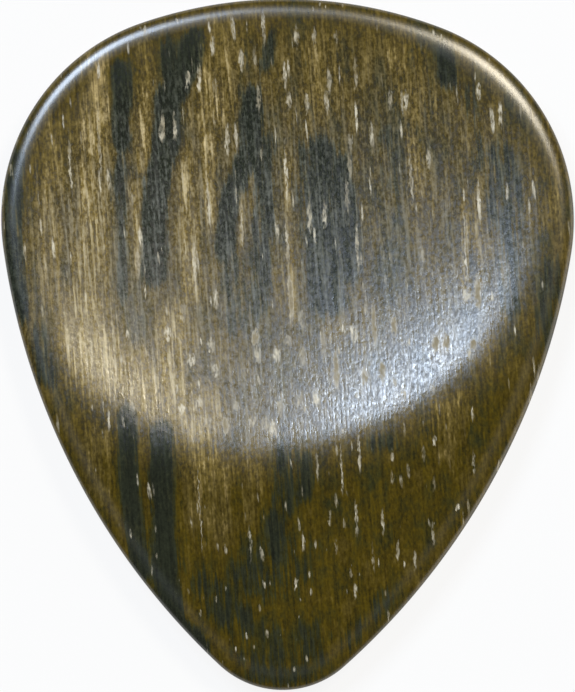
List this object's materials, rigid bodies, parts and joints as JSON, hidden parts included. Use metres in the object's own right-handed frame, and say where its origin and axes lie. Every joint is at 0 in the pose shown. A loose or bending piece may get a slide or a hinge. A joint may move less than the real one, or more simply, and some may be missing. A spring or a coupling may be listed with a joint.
{
  "type": "guitar plectrum",
  "caption": "Rounded-triangle wooden plectrum with a shallow oval thumb dish in its face, a flat back and rounded edges, held between thumb and finger to pluck strings.",
  "frame": {"origin": "middle of the outline's box, on the flat back", "axes": "+Z out of the dished face, +Y from the tip to the wide grip end, +X to the right seen from the dished side"},
  "size_m": [0.026, 0.0314, 0.0028],
  "materials": {
    "figured_wood": "dark streaked hardwood with pale pores, oiled and rubbed to a satin sheen"
  },
  "bodies": {
    "root": {"plectrum": "figured_wood"}
  },
  "joints": []
}
